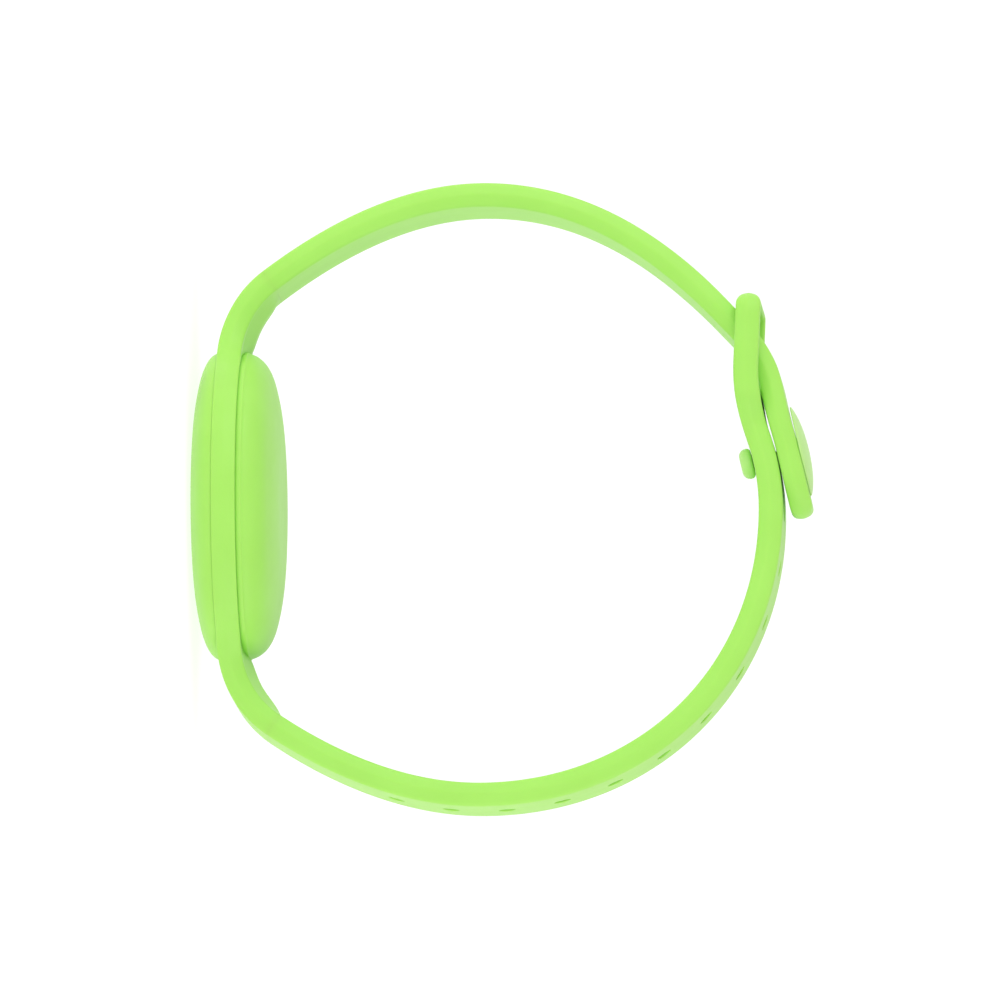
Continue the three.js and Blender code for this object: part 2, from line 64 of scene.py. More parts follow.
# The hoop's centreline: eases are the reach of a curve's two handles, as shares of its span
LUG_RUN = 17.3
LUG_BEND_RADIUS = 11.8
STUD_LUG_TURN = 53.0
HOLE_LUG_TURN = 56.0
STUD_CROWN = (-37.0, 35.0)
HOLE_CROWN = (35.7, 34.6)
APEX = (1.2, 69.6)
HOLE_LUG_EASE = (0.37, 0.31)
HOLE_CROWN_EASE = (0.415, 0.4)
STUD_LUG_EASE = (0.4, 0.3)
STUD_CROWN_EASE = (0.35, 0.37)
TAIL_EASE = (0.25, 0.36)
PLAIN_EASE = (0.36, 0.36)

# Loop
SHOULDER_BEND = (26.0, 19.0)  # radius, turn in degrees
SHOULDER_RUN = 0.8
LOOP_BEND = (22.5, -21.5)
LOOP_STRAIGHT = 8.5
LOOP_THICKNESS = 3.0
LOOP_WIDTH = 16.4
LOOP_BAR = 1.5
LOOP_CORNER = 3.1
LOOP_FLARE = 4.6  # length along which the strap widens to the loop
SLOT_LENGTH = 10.275
SLOT_WIDTH = 13.2
SLOT_CORNER = 0.9
SLOT_ROUND = 0.42
CUT_TURNS = (0, 15, 30, 45, 60)  # degrees to which a cut edge is rounded out
CUT_OVER = 0.8  # how far a cutter goes on past the surface

# Tail
STUD_TO_LOOP_END = 19.9
STUD_TO_HINGE = 10.2
STUD_TO_TIP = 8.0
TAIL_BOW = 0.3
TAIL_SPLAY = -1.2
TAIL_SAG = 0.2  # how far the tail is drawn in against the strap between its root and its stud
ROOT_LIFT = 7.0
ENTRY = (-6.55, -4.95)  # where the stud strap enters the loop, from the tail's root
ENTRY_SLOPE = 43.0
TAPER_LEAD = 6.0
LOOP_TIP_SHARE = 0.04  # least share of the thickness, at the loop's rounded tip
TAIL_TIP_SHARE = 0.05
TONGUE_TIP_SHARE = 0.02  # least share of the width

# Stud and holes
HOLE_RADIUS = 1.0
HOLE_ROUND = 0.16
HOLE_PITCH = 6.5
HOLE_COUNT = 12
LAYER_GAP = 0.1  # between the tail and the strap that it lies on
HEAD_GAP = 0.1
NECK_RADIUS = 0.7
NECK_FILLET = 0.35
HEAD_RADIUS = 1.85
HEAD_HEIGHT = 1.5
HEAD_TIP_ROUND = 0.9
HEAD_BACK_ROUND = 0.5
NECK_SINK = 0.05  # of the neck's root below the tail's face
CAP_RADIUS = 5.5
CAP_HEIGHT = 1.1
CAP_RIM = 0.22
CAP_EDGE = 0.1
CAP_CROWN = 0.62  # share of the radius at which the crown's handle lies
CAP_LIFT = 0.02

# Pod
POD_RADIUS = 18.55
CAVITY_RADIUS = 16.1
POD_HEIGHT = 10.6
POD_WALL = 1.2
RING_RADIUS = 18.9
RING_BASE = 3.05
RING_BULGE = 0.12
RING_EDGE_SHARE = 0.4  # of a strap's edge rounding, on the ring beside the pod
GUSSET_RISE = 0.95  # of the gusset inside each lug's bend
GUSSET_HALF = 5  # where its sides start to rise
GUSSET_RIDGE = 0.8  # where they meet its flat middle
LUG_FILLET = 9.0
SHELL_GAP = 0.1
SEAM_GAP = 0.012  # what shows of the gaps between the pod's pieces
REBATE_GAP = 0.3
GROOVE_ROUND = 1.05  # of the cover's lower edge, which opens the groove over the ring
GROOVE_ANGLE = 36  # degrees that it turns in before it meets the ring
SEAM_ROUND = 0.045
SPIGOT_DEPTH = 1.35
SPIGOT_RADIUS = 16.9
FRONT_FACE = (8.0, 15.4, 0.85)  # flat radius, shoulder radius, drop at the shoulder
WRIST_FACE = (7.0, 15.0, 1.0)
CROWN_EASE = 0.45
CORNER_INSET = 0.06
FRONT_POCKET_ROUND = 1.8
BACK_POCKET_ROUND = 2.4

# Mesh fineness
STRAP_STEP = 0.55
LATHE_STEPS = 192
SMALL_LATHE_STEPS = 96
HOLE_STEPS = 40
SIDE_STEPS = 7
EDGE_STEPS = 4
FACE_STEPS = 10
TIP_STEPS = 24
LUG_STEPS = 10
FILLET_STEPS = 18
RING_STEPS = 24
RIM_ROWS = 25
LOOP_TIP_ROWS = 22
TONGUE_ROWS = 30
SLOT_CORNER_STEPS = 6
ARC_STEPS = 8
SMALL_ARC_STEPS = 4
HEAD_BACK_STEPS = 5
FLAT_STEPS = 4
CROWN_STEPS = 18
SHOULDER_STEPS = 26
SHARP_DEGREES = 38
WELD_DISTANCE = 1e-8  # metres
AXIS_RADIUS = 1e-5  # of the ring of points that stands for a point on a turning axis

RING_MID = RING_BASE + STRAP_THICKNESS / 2
RING_TOP = RING_BASE + STRAP_THICKNESS


# ------------------------------------------------------------------ meshes

def clear_normals(mesh):
    """Turns a closed mesh's faces outward and shades it smooth up to its sharp edges."""
    work = bmesh.new()
    work.from_mesh(mesh)
    bmesh.ops.remove_doubles(work, verts=work.verts, dist=WELD_DISTANCE)
    bmesh.ops.recalc_face_normals(work, faces=work.faces)
    if work.calc_volume(signed=True) < 0:
        bmesh.ops.reverse_faces(work, faces=work.faces)
    work.to_mesh(mesh)
    work.free()
    mesh.shade_smooth()
    mesh.set_sharp_from_angle(angle=math.radians(SHARP_DEGREES))


def new_piece(name, points, faces, material=None):
    """An object at the origin from points in millimetres."""
    mesh = bpy.data.meshes.new(name)
    mesh.from_pydata([tuple(p) for p in np.asarray(points, float) * MM], [], faces)
    clear_normals(mesh)
    piece = bpy.data.objects.new(name, mesh)
    bpy.context.scene.collection.objects.link(piece)
    if material:
        mesh.materials.append(material)
    return piece


def joined_rows(rows, closed_rows=False):
    """Points and faces of a skin over rows of points that each close on themselves. It has a cap
    at each end, unless its last row joins its first."""
    count = len(rows[0])
    faces = []
    pairs = list(zip(range(len(rows) - 1), range(1, len(rows))))
    if closed_rows:
        pairs.append((len(rows) - 1, 0))
    for a, b in pairs:
        for i in range(count):
            j = (i + 1) % count
            faces.append((a * count + i, a * count + j, b * count + j, b * count + i))
    if not closed_rows:
        last = (len(rows) - 1) * count
        faces.append(tuple(range(count))[::-1])
        faces.append(tuple(range(last, last + count)))
    return np.concatenate(rows), faces


def turned(name, profile, material, steps=LATHE_STEPS):
    """A turned piece about Z from (radius, height) pairs. They start and end on the axis, or else
    close on themselves."""
    angles = np.arange(steps) * 2 * math.pi / steps
    circle = np.stack([np.cos(angles), np.sin(angles)], 1)
    closed = profile[0][0] > 0
    rows = [np.column_stack([circle * max(radius, AXIS_RADIUS), np.full(steps, z)])
            for radius, z in profile]
    points, faces = joined_rows(rows, closed_rows=closed)
    return new_piece(name, points, faces, material)


def cut(piece, cutter):
    """Cuts a piece with another mesh, which is then removed."""
    modifier = piece.modifiers.new("cut", "BOOLEAN")
    modifier.operation = "DIFFERENCE"
    modifier.solver = "EXACT"
    modifier.object = cutter
    graph = bpy.context.evaluated_depsgraph_get()
    result = bpy.data.meshes.new_from_object(piece.evaluated_get(graph))
    piece.modifiers.clear()
    piece.data = result
    clear_normals(result)
    bpy.data.objects.remove(cutter)


# ------------------------------------------------------------------ curves

def unit(degrees):
    return np.array([math.cos(math.radians(degrees)), math.sin(math.radians(degrees))])


def smooth(share):
    share = np.clip(share, 0, 1)
    return share * share * (3 - 2 * share)


class Centreline:
    """A line in the XZ plane, grown from a start and a heading by runs, bends and eased curves."""

    grain = 240  # samples in each stretch

    def __init__(self, start, degrees):
        self.points = [np.array(start, float)]
        self.headings = [unit(degrees)]
        self.degrees = degrees

    def grow(self, points, headings):
        self.points.extend(points[1:])
        self.headings.extend(headings[1:])
        steps = np.diff(np.array(self.points), axis=0)
        self.stations = np.concatenate([[0], np.cumsum(np.hypot(*steps.T))])
        self.length = self.stations[-1]
        return self

    def run(self, length):
        shares = np.linspace(0, 1, self.grain)[:, None]
        points = self.points[-1] + shares * length * unit(self.degrees)
        return self.grow(points, [unit(self.degrees)] * self.grain)

    def bend(self, radius, turn):
        side = math.copysign(1, turn)
        centre = self.points[-1] + side * radius * unit(self.degrees + 90)
        angles = self.degrees + np.linspace(0, turn, self.grain)
        points = [centre + radius * unit(a - side * 90) for a in angles]
        self.degrees += turn
        return self.grow(points, [unit(a) for a in angles])

    def ease_to(self, end, degrees, handles=PLAIN_EASE):
        start = self.points[-1]
        end = np.array(end, float)
        span = np.hypot(*(end - start))
        corners = [start, start + handles[0] * span * unit(self.degrees),
                   end - handles[1] * span * unit(degrees), end]
        shares = np.linspace(0, 1, self.grain)[:, None]
        rest = 1 - shares
        points = (rest ** 3 * corners[0] + 3 * rest ** 2 * shares * corners[1]
                  + 3 * rest * shares ** 2 * corners[2] + shares ** 3 * corners[3])
        slopes = (rest ** 2 * (corners[1] - corners[0])
                  + 2 * rest * shares * (corners[2] - corners[1])
                  + shares ** 2 * (corners[3] - corners[2]))
        self.degrees = degrees
        return self.grow(points, slopes / np.linalg.norm(slopes, axis=1)[:, None])

    def at(self, station):
        """Point, direction and left side at a distance along the line."""
        points = np.array(self.points)
        headings = np.array(self.headings)
        def pick(values):
            return np.array([np.interp(station, self.stations, c) for c in values.T])

        direction = pick(headings)
        direction = direction / np.hypot(*direction)
        return pick(points), direction, np.array([-direction[1], direction[0]])

    def place(self, station, across, off):
        """Points in space: at a station, across the width, and off the line to its left."""
        point, _, left = self.at(station)
        return np.stack([point[0] + left[0] * off, across + 0 * point[0],
                         point[1] + left[1] * off], -1)


def build_lines():
    """The two centrelines, from inside the ring: to the loop's tip and to the tail's tip."""
    hole = Centreline((0, RING_MID), 0).run(LUG_RUN).bend(LUG_BEND_RADIUS, HOLE_LUG_TURN)
    hole.lug_end = hole.length
    hole.ease_to(HOLE_CROWN, 90, HOLE_LUG_EASE).ease_to(APEX, 180, HOLE_CROWN_EASE)
    hole.bend(*SHOULDER_BEND).run(SHOULDER_RUN).bend(*LOOP_BEND).run(LOOP_STRAIGHT)
    hole.slot_end = hole.length - LOOP_BAR
    hole.slot_start = hole.slot_end - SLOT_LENGTH
    hole.loop_start = hole.slot_start - LOOP_BAR
    hole.stud = hole.length - STUD_TO_LOOP_END

    seat, direction, left = hole.at(hole.stud)
    pitch = STRAP_THICKNESS / 2 + LAYER_GAP + TAIL_THICKNESS / 2
    stud_point = seat - left * pitch
    tail_degrees = math.degrees(math.atan2(direction[1], direction[0])) % 360 - 180 + TAIL_SPLAY
    hinge = stud_point - STUD_TO_HINGE * unit(tail_degrees) - TAIL_BOW * unit(tail_degrees + 90)
    bow_degrees = math.degrees(math.atan(TAIL_BOW / STUD_TO_HINGE))
    root_slope = tail_degrees + 2 * bow_degrees + ROOT_LIFT

    stud = Centreline((0, RING_MID), 180).run(LUG_RUN).bend(LUG_BEND_RADIUS, -STUD_LUG_TURN)
    stud.lug_end = stud.length
    stud.ease_to(STUD_CROWN, 90, STUD_LUG_EASE)
    stud.ease_to(hinge + ENTRY, ENTRY_SLOPE, STUD_CROWN_EASE)
    stud.entry = stud.length
    stud.ease_to(hinge, root_slope)
    stud.hinge = stud.length
    stud.ease_to(stud_point, tail_degrees, TAIL_EASE)
    stud.stud = stud.length
    stud.run(STUD_TO_TIP)
    return hole, stud, hinge, stud_point, tail_degrees


hole_line, stud_line, hinge_point, stud_point, tail_degrees = build_lines()


# ------------------------------------------------------------------ silicone sections

def edge_profile(half):
    """Heights up a side, and how far it is set in there: bulge * share + extra."""
    corner = min(EDGE_ROUND, half * EDGE_MOST)
    reach = half - corner
    rise = np.linspace(0, reach, SIDE_STEPS + 1)
    turn = np.linspace(0, 1, EDGE_STEPS + 1)[1:]
    heights = np.concatenate([rise, (1 - turn) ** 2 * reach + (1 - (1 - turn) ** 2) * half])
    side = (reach / half) ** SIDE_POWER
    share = np.concatenate([(rise / half) ** SIDE_POWER, (1 - turn) ** 2 * side + 1 - (1 - turn) ** 2])
    extra = np.concatenate([0 * rise, corner * turn ** 2])

    def mirror(values, sign):
        return np.concatenate([sign * values[:0:-1], values])

    return mirror(heights, -1), mirror(share, 1), mirror(extra, 1)


def strap_row(line, station, half_width, half_thickness, shift=0.0):
    """One closed row of points round a strap, which can be shifted to its line's left."""
    heights, share, extra = edge_profile(half_thickness)
    inset = SIDE_BULGE * share + extra
    inset = inset * min(1, half_width / (inset.max() + EDGE_KEEP))
    side = half_width - inset
    inner = np.linspace(side[-1], -side[-1], FACE_STEPS + 1)[1:-1]
    across = np.concatenate([side, inner, -side[::-1], inner[::-1]])
    flat = np.full(len(inner), half_thickness)
    off = np.concatenate([heights, flat, heights[::-1], -flat])
    return line.place(np.full(len(across), station), across, off + shift)


def spread(start, end):
    """Even stations along a strap."""
    return np.linspace(start, end, max(2, int(round((end - start) / STRAP_STEP)) + 1))


def rounded_end(end, depth, steps):
    """Stations that crowd towards a rounded end."""
    turn = np.linspace(0, math.pi / 2, steps + 1)
    return end - depth * (1 - np.sin(turn))


def end_round(station, end, radius):
    """Share of the full size that is left near an end rounded with a radius."""
    ahead = np.clip((station - (end - radius)) / radius, 0, 1)
    return np.sqrt(np.clip(1 - ahead ** 2, 0, 1))


def holed_strap(material):
    """The strap with the holes and the loop at its end."""
    line = hole_line
    tip = line.length
    half_loop = LOOP_THICKNESS / 2
    corner_start = tip - LOOP_CORNER
    flare_start = line.slot_start - LOOP_FLARE
    stations = np.concatenate([
        spread(line.lug_end, corner_start),
        rounded_end(tip, LOOP_CORNER, LOOP_TIP_ROWS)[1:]])
    rows = []
    for s in stations:
        widening = smooth((s - flare_start) / LOOP_FLARE)
        width = STRAP_WIDTH + (LOOP_WIDTH - STRAP_WIDTH) * widening
        ahead = max(0.0, (s - corner_start) / LOOP_CORNER)
        drop = LOOP_CORNER * (1 - math.sqrt(max(0.0, 1 - ahead))) ** 2
        thickness = STRAP_THICKNESS + (LOOP_THICKNESS - STRAP_THICKNESS) * widening
        half = thickness / 2 * max(end_round(s, tip, half_loop), LOOP_TIP_SHARE)
        rows.append(strap_row(line, s, width / 2 - drop, half))
    piece = new_piece("holed_strap", *joined_rows(rows), material)
    cut(piece, hole_cutters(material))
    cut(piece, slot_cutter())
    return piece


def flare_levels(half, radius):
    """(height, growth) pairs through a wall whose cut edges are rounded out."""
    turns = np.radians(CUT_TURNS)
    start = half - radius * math.sin(turns[-1])
    upper = [(start + radius * math.sin(a), radius * (1 - math.cos(a))) for a in turns]
    past, wider = CUT_OVER * math.cos(turns[-1]), CUT_OVER * math.sin(turns[-1])
    upper.append((half + past, upper[-1][1] + wider))
    return [(-z, g) for z, g in upper[::-1]] + upper


def slot_cutter():
    """The cutter for the loop's slot, bent along the loop."""
    middle = (hole_line.slot_start + hole_line.slot_end) / 2
    reach = np.array([SLOT_LENGTH / 2 - SLOT_CORNER, SLOT_WIDTH / 2 - SLOT_CORNER])
    rows = []
    for height, growth in flare_levels(LOOP_THICKNESS / 2, SLOT_ROUND):
        outline = []
        for i, signs in enumerate(((1, 1), (-1, 1), (-1, -1), (1, -1))):
            for turn in np.linspace(0, 90, SLOT_CORNER_STEPS + 1):
                outline.append(reach * signs + unit(turn + 90 * i) * (SLOT_CORNER + growth))
        outline = np.array(outline)
        between = []
        for a, b in zip(outline, np.roll(outline, -1, axis=0)):
            count = max(1, int(np.hypot(*(b - a)) / STRAP_STEP))
            between.extend(a + (b - a) * i / count for i in range(count))
        outline = np.array(between) if not rows else resampled(outline, len(rows[0]))
        rows.append(hole_line.place(middle + outline[:, 0], outline[:, 1], height))
    return new_piece("slot_cutter", *joined_rows(rows))


def resampled(outline, count):
    """A closed outline again, with an even number of points along it."""
    loop = np.vstack([outline, outline[:1]])
    along = np.concatenate([[0], np.cumsum(np.hypot(*np.diff(loop, axis=0).T))])
    wanted = np.arange(count) * along[-1] / count
    return np.stack([np.interp(wanted, along, c) for c in loop.T], 1)


# ------------------------------------------------------------------ node trees

def add_node(tree, kind, inputs=None, **settings):
    """Adds a node. Inputs are values, or outputs of other nodes to link."""
    node = tree.nodes.new(kind)
    for key, value in settings.items():
        setattr(node, key, value)
    for key, value in (inputs or {}).items():
        if isinstance(value, bpy.types.NodeSocket):
            tree.links.new(value, node.inputs[key])
        else:
            node.inputs[key].default_value = value
    return node


def hole_tree():
    """Geometry nodes: a copy of the cutter at each station, turned to the strap's normal."""
    tree = bpy.data.node_groups.new("strap_holes", "GeometryNodeTree")
    face = tree.interface
    face.new_socket("Stations", in_out="INPUT", socket_type="NodeSocketGeometry")
    face.new_socket("Cutter", in_out="INPUT", socket_type="NodeSocketObject")
    face.new_socket("Hole Radius", in_out="INPUT", socket_type="NodeSocketFloat")
    face.new_socket("Material", in_out="INPUT", socket_type="NodeSocketMaterial")
    face.new_socket("Holes", in_out="OUTPUT", socket_type="NodeSocketGeometry")
    given = add_node(tree, "NodeGroupInput").outputs
    axis = add_node(tree, "GeometryNodeInputNamedAttribute", {"Name": "hole_axis"},
                    data_type="FLOAT_VECTOR").outputs["Attribute"]
    turn = add_node(tree, "FunctionNodeAlignRotationToVector", {"Vector": axis}, axis="Z")
    shape = add_node(tree, "GeometryNodeObjectInfo", {"Object": given["Cutter"]})
    points = add_node(tree, "GeometryNodeMeshToPoints", {"Mesh": given["Stations"]})
    size = add_node(tree, "ShaderNodeCombineXYZ",
                    {"X": given["Hole Radius"], "Y": given["Hole Radius"], "Z": 1.0})
    copies = add_node(tree, "GeometryNodeInstanceOnPoints",
                      {"Points": points.outputs[0], "Instance": shape.outputs["Geometry"],
                       "Rotation": turn.outputs[0], "Scale": size.outputs[0]})
    solid = add_node(tree, "GeometryNodeRealizeInstances", {"Geometry": copies.outputs[0]})
    painted = add_node(tree, "GeometryNodeSetMaterial",
                       {"Geometry": solid.outputs[0], "Material": given["Material"]})
    add_node(tree, "NodeGroupOutput", {"Holes": painted.outputs[0]})
    return tree


def hole_cutters(material):
    """The row of holes' cutters, as one mesh."""
    levels = flare_levels(STRAP_THICKNESS / 2, HOLE_ROUND)
    wall = [(1 + growth / HOLE_RADIUS, z) for z, growth in levels]
    profile = [(0, levels[0][0]), *wall, (0, levels[-1][0])]
    shape = turned("hole_shape", profile, None, HOLE_STEPS)
    stations = hole_line.stud - np.arange(HOLE_COUNT) * HOLE_PITCH
    points, _, left = hole_line.at(stations)
    mesh = bpy.data.meshes.new("hole_stations")
    places = np.column_stack([points[0], 0 * stations, points[1]]) * MM
    mesh.from_pydata([tuple(p) for p in places], [], [])
    axes = mesh.attributes.new("hole_axis", "FLOAT_VECTOR", "POINT")
    axes.data.foreach_set("vector", np.column_stack([left[0], 0 * stations, left[1]]).ravel())
    row = bpy.data.objects.new("hole_row", mesh)
    bpy.context.scene.collection.objects.link(row)
    modifier = row.modifiers.new("holes", "NODES")
    modifier.node_group = hole_tree()
    sockets = {item.name: item.identifier for item in modifier.node_group.interface.items_tree
               if item.in_out == "INPUT"}
    modifier[sockets["Cutter"]] = shape
    modifier[sockets["Hole Radius"]] = HOLE_RADIUS
    modifier[sockets["Material"]] = material
    graph = bpy.context.evaluated_depsgraph_get()
    cutters = bpy.data.meshes.new_from_object(row.evaluated_get(graph))
    row.modifiers.clear()
    row.data = cutters
    clear_normals(cutters)
    bpy.data.objects.remove(shape)
    return row


# ------------------------------------------------------------------ band pieces

def lug_outline():
    """Plan of the ring and its lugs, counterclockwise: points, outward normals, side bulges."""
    half = STRAP_WIDTH / 2
    cy = half + LUG_FILLET
    cx = math.sqrt((RING_RADIUS + LUG_FILLET) ** 2 - cy ** 2)
    centre = np.array([cx, cy])
    touch = math.degrees(math.atan2(cy, cx))

    def quarter_plan(reach):
        points, normals, bulges = [], [], []
        for y in np.linspace(0, half, TIP_STEPS + 1)[:-1]:
            points.append((reach, y))
            normals.append((0, y / half))
            bulges.append(SIDE_BULGE)
        for x in np.linspace(reach, cx, LUG_STEPS + 1)[:-1]:
            points.append((x, half))
            normals.append((0, 1))
            bulges.append(SIDE_BULGE)
        for share in np.linspace(0, 1, FILLET_STEPS + 1)[:-1]:
            away = unit(-90 + share * (touch - 90))
            points.append(centre + LUG_FILLET * away)
            normals.append(-away)
            bulges.append(SIDE_BULGE + (RING_BULGE - SIDE_BULGE) * smooth(share))
        for degrees in np.linspace(touch, 90, RING_STEPS + 1)[:-1]:
            points.append(RING_RADIUS * unit(degrees))
            normals.append(unit(degrees))
            bulges.append(RING_BULGE)
        return np.array(points), np.array(normals), np.array(bulges)

    right = quarter_plan(hole_line.lug_end)
    left = quarter_plan(stud_line.lug_end)
    top = (np.array([[0, RING_RADIUS]]), np.array([[0, 1]]), np.array([RING_BULGE]))

    def turned_over(part, flip_x, flip_y, backwards, skip_first):
        sign = np.array([-1 if flip_x else 1, -1 if flip_y else 1])
        values = [part[0] * sign, part[1] * sign, part[2]]
        if skip_first:
            values = [v[1:] for v in values]
        return [v[::-1] for v in values] if backwards else values

    stretches = [
        turned_over(right, False, False, False, False),
        turned_over(top, False, False, False, False),
        turned_over(left, True, False, True, False),
        turned_over(left, True, True, False, True),
        turned_over(top, False, True, False, False),
        turned_over(right, False, True, True, True),
    ]
    return [np.concatenate([s[i] for s in stretches]) for i in range(3)]


def on_hoop(plan, up):
    """Carries plan points of the ring and lugs to their place on the bent hoop."""
    distance = np.abs(plan[:, 0])
    right = hole_line.place(distance, plan[:, 1], up)
    left = stud_line.place(distance, plan[:, 1], -up)
    return np.where(plan[:, :1] >= 0, right, left)


def gusset(plan):
    """How far the inner face is raised where each lug bends up."""
    ends = np.where(plan[:, 0] > 0, hole_line.lug_end, stud_line.lug_end)
    share = np.clip((np.abs(plan[:, 0]) - LUG_RUN) / (ends - LUG_RUN), 0, 1)
    inside = np.clip((GUSSET_HALF - np.abs(plan[:, 1])) / (GUSSET_HALF - GUSSET_RIDGE), 0, 1)
    return GUSSET_RISE * (1 - (2 * share - 1) ** 4) * inside


def pod_ring(material):
    """The ring round the pod, with the two lugs that bend up into the straps."""
    points, normals, bulges = lug_outline()
    half = STRAP_THICKNESS / 2
    ledge = RING_TOP - SPIGOT_DEPTH - SHELL_GAP - RING_MID
    rebate = SPIGOT_RADIUS + REBATE_GAP
    heights, share, extra = edge_profile(half)
    strapness = (bulges - RING_BULGE) / (SIDE_BULGE - RING_BULGE)
    softness = RING_EDGE_SHARE + (1 - RING_EDGE_SHARE) * strapness
    outer = [(points - normals * (bulges * a + softness * c)[:, None], z)
             for z, a, c in zip(heights, share, extra)]
    rays = outer[-1][0] / np.hypot(*outer[-1][0].T)[:, None]
    rows = [(rays * CAVITY_RADIUS, -half), (rays * CAVITY_RADIUS, ledge),
            (rays * rebate, ledge), (rays * rebate, half)]
    steps = np.linspace(0, 1, RIM_ROWS + 2)[1:-1]
    rows += [(rays * rebate * (1 - k) + outer[-1][0] * k, half) for k in steps]
    rows += outer[::-1]
    rows += [(outer[0][0] * (1 - k) + rays * CAVITY_RADIUS * k, -half) for k in steps]
    placed = [on_hoop(plan, z + (gusset(plan) if z == half else 0)) for plan, z in rows]
    return new_piece("pod_ring_moulding", *joined_rows(placed, closed_rows=True), material)


def stud_strap(material):
    """The plain strap, through the loop and on to the tongue that carries the stud."""
    line = stud_line
    tip = line.length
    tongue = tip - STRAP_WIDTH / 2
    taper_start = line.entry - TAPER_LEAD
    taper_end = line.hinge - TAIL_THICKNESS / 2
    stations = np.concatenate([
        spread(line.lug_end, tongue),
        rounded_end(tip, STRAP_WIDTH / 2, TONGUE_ROWS)[1:]])
    rows = []
    for s in stations:
        thinning = np.clip((s - taper_start) / (taper_end - taper_start), 0, 1)
        thickness = STRAP_THICKNESS + (TAIL_THICKNESS - STRAP_THICKNESS) * thinning
        half = thickness / 2 * max(end_round(s, tip, TAIL_THICKNESS / 2), TAIL_TIP_SHARE)
        width = STRAP_WIDTH * max(end_round(s, tip, STRAP_WIDTH / 2), TONGUE_TIP_SHARE)
        drawn = np.clip((s - line.hinge) / (line.stud - line.hinge), 0, 1)
        sag = TAIL_SAG * math.sin(math.pi * drawn) ** 2
        rows.append(strap_row(line, s, width / 2, half, -sag))
    return new_piece("stud_strap_and_tail", *joined_rows(rows), material)


def bezier(a, b, c, steps):
    shares = np.linspace(0, 1, steps + 1)[:, None]
    a, b, c = (np.array(p, float) for p in (a, b, c))
    return (1 - shares) ** 2 * a + 2 * shares * (1 - shares) * b + shares ** 2 * c


def dome(face, rim_drop):
    """(radius, drop) pairs down a domed half: flat face, gentle crown, tight shoulder."""
    flat, shoulder, drop = face
    run = (shoulder - flat) * CROWN_EASE
    corner = POD_RADIUS - (POD_RADIUS - shoulder) * CORNER_INSET
    corner_drop = drop + drop / run * (corner - shoulder)
    middle = [(flat * k, 0) for k in np.linspace(0, 1, FLAT_STEPS + 1)[:-1]]
    crown = bezier((flat, 0), (shoulder - run, 0), (shoulder, drop), CROWN_STEPS)
    edge = bezier(crown[-1], (corner, corner_drop), (POD_RADIUS, rim_drop), SHOULDER_STEPS)
    return middle + [tuple(p) for p in [*crown, *edge[1:]]]


def quarter(centre, radius, start, end, steps=ARC_STEPS):
    """Arc points about a centre between two angles in degrees."""
    return [tuple(np.array(centre) + radius * unit(a)) for a in np.linspace(start, end, steps + 1)]


def pod_front(material):
    """The pod's front half, hollow for the tracker."""
    top = RING_BASE - SEAM_GAP
    outer = [p for p in dome(FRONT_FACE, top) if p[1] < top - SEAM_ROUND]
    pocket = FRONT_POCKET_ROUND
    inner_corner = quarter((CAVITY_RADIUS - pocket, POD_WALL + pocket), pocket, 0, -90)
    return turned("pod_front_shell_moulding", [
        *outer,
        *quarter((POD_RADIUS - SEAM_ROUND, top - SEAM_ROUND), SEAM_ROUND, 0, 90, SMALL_ARC_STEPS),
        (CAVITY_RADIUS, top),
        *inner_corner,
        (0, POD_WALL),
    ], material)


def pod_cover(material):
    """The pod's wrist half, with the spigot that sits in the ring's rebate."""
    under = RING_TOP + SEAM_GAP
    roof = POD_HEIGHT - POD_WALL
    spigot = RING_TOP - SPIGOT_DEPTH
    pocket = BACK_POCKET_ROUND
    rise = GROOVE_ROUND * math.sin(math.radians(GROOVE_ANGLE))
    outer = [(radius, POD_HEIGHT - drop) for radius, drop in dome(WRIST_FACE, POD_HEIGHT - under)]
    outer = [p for p in outer if p[1] > under + rise]
    return turned("pod_back_cover_moulding", [
        (0, roof),
        *quarter((CAVITY_RADIUS - pocket, roof - pocket), pocket, 90, 0),
        (CAVITY_RADIUS, spigot),
        (SPIGOT_RADIUS - SEAM_ROUND, spigot),
        (SPIGOT_RADIUS, spigot + SEAM_ROUND),
        (SPIGOT_RADIUS, under),
        *quarter((POD_RADIUS - GROOVE_ROUND, under + rise), GROOVE_ROUND, -GROOVE_ANGLE, 0),
        *outer[::-1],
    ], material)


def on_stud(piece):
    """Puts a piece that was turned about Z onto the stud's own axis."""
    turn = Matrix.Rotation(-math.radians(tail_degrees), 4, "Y")
    move = Matrix.Translation(Vector((stud_point[0], 0, stud_point[1])) * MM)
    piece.data.transform(move @ turn)
    return piece


def stud_post(material):
    """The stud's neck, and the head that holds behind a hole."""
    top = -(TAIL_THICKNESS / 2 + LAYER_GAP + STRAP_THICKNESS + HEAD_GAP)
    low = top - HEAD_HEIGHT
    root = TAIL_THICKNESS / 2 - NECK_SINK
    return on_stud(turned("stud_post", [
        (0, low),
        *quarter((HEAD_RADIUS - HEAD_TIP_ROUND, low + HEAD_TIP_ROUND), HEAD_TIP_ROUND, -90, 0),
        *quarter((HEAD_RADIUS - HEAD_BACK_ROUND, top - HEAD_BACK_ROUND), HEAD_BACK_ROUND, 0, 90,
                 HEAD_BACK_STEPS),
        (NECK_RADIUS + NECK_FILLET, top),
        (NECK_RADIUS, top + NECK_FILLET),
        (NECK_RADIUS, root),
        (0, root),
    ], material, SMALL_LATHE_STEPS))


